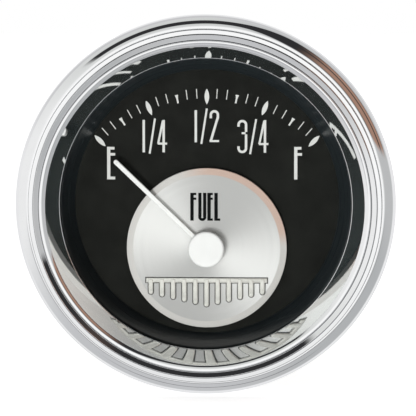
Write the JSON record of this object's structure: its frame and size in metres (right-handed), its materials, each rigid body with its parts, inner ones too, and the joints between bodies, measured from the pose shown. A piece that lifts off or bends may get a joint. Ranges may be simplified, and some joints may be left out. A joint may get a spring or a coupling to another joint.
{
  "type": "fuel gauge",
  "caption": "Round electric fuel gauge with a slanted chrome bezel, black dial, short pointer sweep, terminal studs, lamp holder and a clamp for panel mounting.",
  "frame": {"origin": "on the case axis, in the plane where the bezel's rear edge meets the panel", "axes": "-Y is where the dial faces, +Y runs back along the case axis through the panel, +Z is twelve o'clock on the dial and +X is right as the dial is read"},
  "size_m": [0.0604, 0.0673, 0.0604],
  "materials": {
    "chrome_bezel": "mirror chrome plate",
    "lens_glass": "clear, polished",
    "seal_rubber": "matt",
    "black_gloss": "glossy black",
    "black_dial": "matt black with silver print",
    "spun_nickel": "spun satin nickel",
    "ornament_nickel": "bright nickel with dark recesses",
    "white_plastic": "white",
    "natural_plastic": "natural nylon",
    "black_plastic": "black fibre",
    "pointer_white": "satin silver-white",
    "cap_white": "satin silver-white",
    "turned_brass": "turned",
    "bright_steel": "bright zinc plate",
    "zinc_sheet": "zinc plated sheet",
    "magnet_grey": "sintered",
    "copper_wire": "enamelled copper wire",
    "board_green": "solder mask",
    "resistor_tan": "lacquered",
    "lamp_glass": "clear"
  },
  "bodies": {
    "housing": {"bezel": "chrome_bezel", "lens": "lens_glass", "lens_gasket": "seal_rubber", "depth_ring": "black_gloss", "dial_plate": "black_dial", "centre_disc": "spun_nickel", "disc_ornament": "ornament_nickel", "dial_screws": "bright_steel", "support_ring": "white_plastic", "front_bush": "turned_brass", "rear_bush": "turned_brass", "front_bobbin": "natural_plastic", "rear_bobbin": "natural_plastic", "inner_coil": "copper_wire", "outer_coil": "copper_wire", "return_magnet": "magnet_grey", "shield_can": "zinc_sheet", "circuit_board": "board_green", "board_screws": "bright_steel", "range_resistor": "resistor_tan", "case_can": "zinc_sheet", "terminal_studs": "turned_brass", "stud_spacers": "natural_plastic", "insulating_washers": "black_plastic", "terminal_lock_washers": "bright_steel", "terminal_nuts": "turned_brass", "mounting_studs": "bright_steel"},
    "pointer": {"pointer_blade": "pointer_white", "pointer_hub": "turned_brass", "hub_cap": "cap_white", "pointer_staff": "bright_steel", "rotor_magnet": "magnet_grey", "stop_pin": "bright_steel"},
    "clamp": {"clamp_bracket": "zinc_sheet", "clamp_washers": "bright_steel"},
    "left_nut": {"thumb_nut_left": "turned_brass"},
    "right_nut": {"thumb_nut_right": "turned_brass"},
    "lamp": {"lamp_holder": "white_plastic", "lamp_contacts": "turned_brass", "lamp_bulb": "lamp_glass"}
  },
  "joints": [
    {"name": "pointer_turn", "type": "hinge", "parent": "housing", "child": "pointer", "pos_m": [0, 0, -0.00745], "axis": [0, 1, 0], "range_deg": [0, 92.4], "stiffness_Nm_per_rad": 0.00005, "springref_deg": -17.19},
    {"name": "clamp_slide", "type": "slide", "parent": "housing", "child": "clamp", "axis": [0, 1, 0], "range_m": [-0.002, 0.005]},
    {"name": "left_nut_turn", "type": "hinge", "parent": "clamp", "child": "left_nut", "pos_m": [-0.017, 0.0434, 0], "axis": [0, 1, 0], "range_deg": [-1029, 2572]},
    {"name": "right_nut_turn", "type": "hinge", "parent": "clamp", "child": "right_nut", "pos_m": [0.017, 0.0434, 0], "axis": [0, 1, 0], "range_deg": [-1029, 2572]},
    {"name": "lamp_turn", "type": "hinge", "parent": "housing", "child": "lamp", "pos_m": [0, 0.03, 0.0155], "axis": [0, 1, 0], "range_deg": [0, 45]}
  ],
  "couplings": [
    {"joint": "left_nut_turn", "follows": "clamp_slide", "rad_per_m": 8976},
    {"joint": "right_nut_turn", "follows": "clamp_slide", "rad_per_m": 8976}
  ]
}
